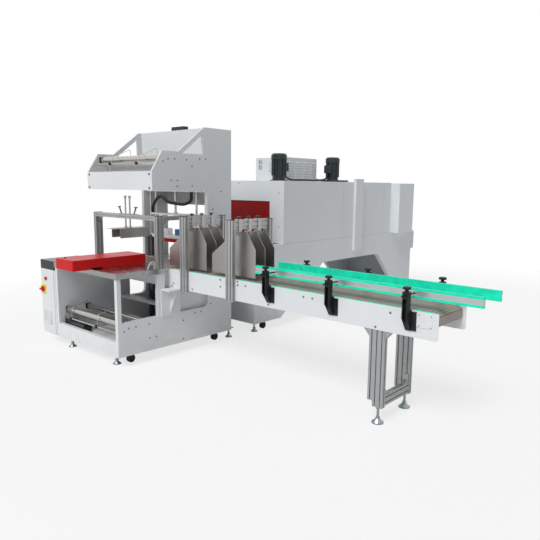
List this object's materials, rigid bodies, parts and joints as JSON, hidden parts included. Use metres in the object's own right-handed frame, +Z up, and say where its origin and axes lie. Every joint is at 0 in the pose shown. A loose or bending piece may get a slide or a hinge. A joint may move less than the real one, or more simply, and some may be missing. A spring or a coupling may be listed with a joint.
{
  "type": "shrink wrapping machine",
  "caption": "Side-fed sleeve wrapping machine with a laned infeed conveyor, a sealing tower and a hot-air shrink tunnel in line.",
  "frame": {"origin": "on the floor, under the centre of the whole line", "axes": "+X is the way the packs travel, from the film rollers through the sealing tower and the tunnel; the infeed conveyor runs out along -Y; +Z is up"},
  "size_m": [5.579, 4.34, 2.232],
  "materials": {
    "white_paint": "semi-gloss white powder coat",
    "grey_paint": "grey powder coat",
    "red_paint": "glossy red paint",
    "stainless": "brushed stainless sheet",
    "chrome": "ground chromed rollers",
    "aluminium": "clear anodised profile",
    "zinc": "bluish zinc plate",
    "black_plastic": "black glass-filled plastic",
    "green_plastic": "mint green sliding plastic",
    "belt_plastic": "beige-brown belt modules",
    "dark_grey": "dark green-grey motor paint",
    "curtain": "dark red silicone curtain",
    "switch_red": "red handle",
    "switch_yellow": "yellow plate, with a red pilot lens and a grey grille",
    "hose": "black hose"
  },
  "bodies": {
    "line": {"base_frame": "white_paint", "table_posts": "white_paint", "base_sides": "white_paint", "tower_shell": "white_paint", "table_top": "stainless", "pusher_cover": "red_paint", "table_gantry": "aluminium", "film_hoops": "chrome", "roller_brackets": "black_plastic", "film_motor": "dark_grey", "head_sides": "white_paint", "head_panels": "white_paint", "hand_clamps": "black_plastic", "seal_guides": "chrome", "cabinet": "white_paint", "black_caps": "black_plastic", "cabinet_fittings": "switch_yellow", "conveyor_frame": "white_paint", "infeed_belt": "belt_plastic", "belt_drums": "dark_grey", "green_strips": "green_plastic", "guide_rails": "aluminium", "rail_brackets": "black_plastic", "leg_portal": "aluminium", "conveyor_bracket": "white_paint", "lane_gantries": "aluminium", "lane_plates": "stainless", "levelling_feet": "zinc", "casters": "black_plastic", "tunnel_chamber": "white_paint", "tunnel_hood": "white_paint", "tunnel_curtains": "curtain", "tunnel_deck": "white_paint", "tunnel_belt": "grey_paint", "tunnel_pedestals": "white_paint", "tunnel_boxes": "white_paint", "fan_motors": "dark_grey", "hoses": "hose"},
    "front_film_roller": {"film_roller_front": "chrome"},
    "back_film_roller": {"film_roller_back": "chrome"},
    "head_film_roller": {"head_roller": "chrome"},
    "press": {"press_plate": "stainless"},
    "sealing_bar": {"seal_bar": "aluminium", "seal_skirt": "red_paint"},
    "switch": {"switch_knob": "switch_red"}
  },
  "joints": [
    {"name": "front_film_roller_spin", "type": "hinge", "parent": "line", "child": "front_film_roller", "pos_m": [-2.4895, 1.33, 0.372], "axis": [0, 1, 0], "continuous": true},
    {"name": "back_film_roller_spin", "type": "hinge", "parent": "line", "child": "back_film_roller", "pos_m": [-2.2695, 1.33, 0.372], "axis": [0, 1, 0], "continuous": true},
    {"name": "head_roller_spin", "type": "hinge", "parent": "line", "child": "head_film_roller", "pos_m": [-2.0345, 1.33, 1.88], "axis": [0, 1, 0], "continuous": true},
    {"name": "press_height", "type": "slide", "parent": "line", "child": "press", "axis": [0, 0, 1], "range_m": [-0.1, 0.06]},
    {"name": "sealing_stroke", "type": "slide", "parent": "line", "child": "sealing_bar", "axis": [0, 0, 1], "range_m": [-0.14, 0]},
    {"name": "main_switch_turn", "type": "hinge", "parent": "line", "child": "switch", "pos_m": [-2.6095, 2.115, 0.56], "axis": [-1, 0, 0], "range_deg": [0, 90]}
  ]
}
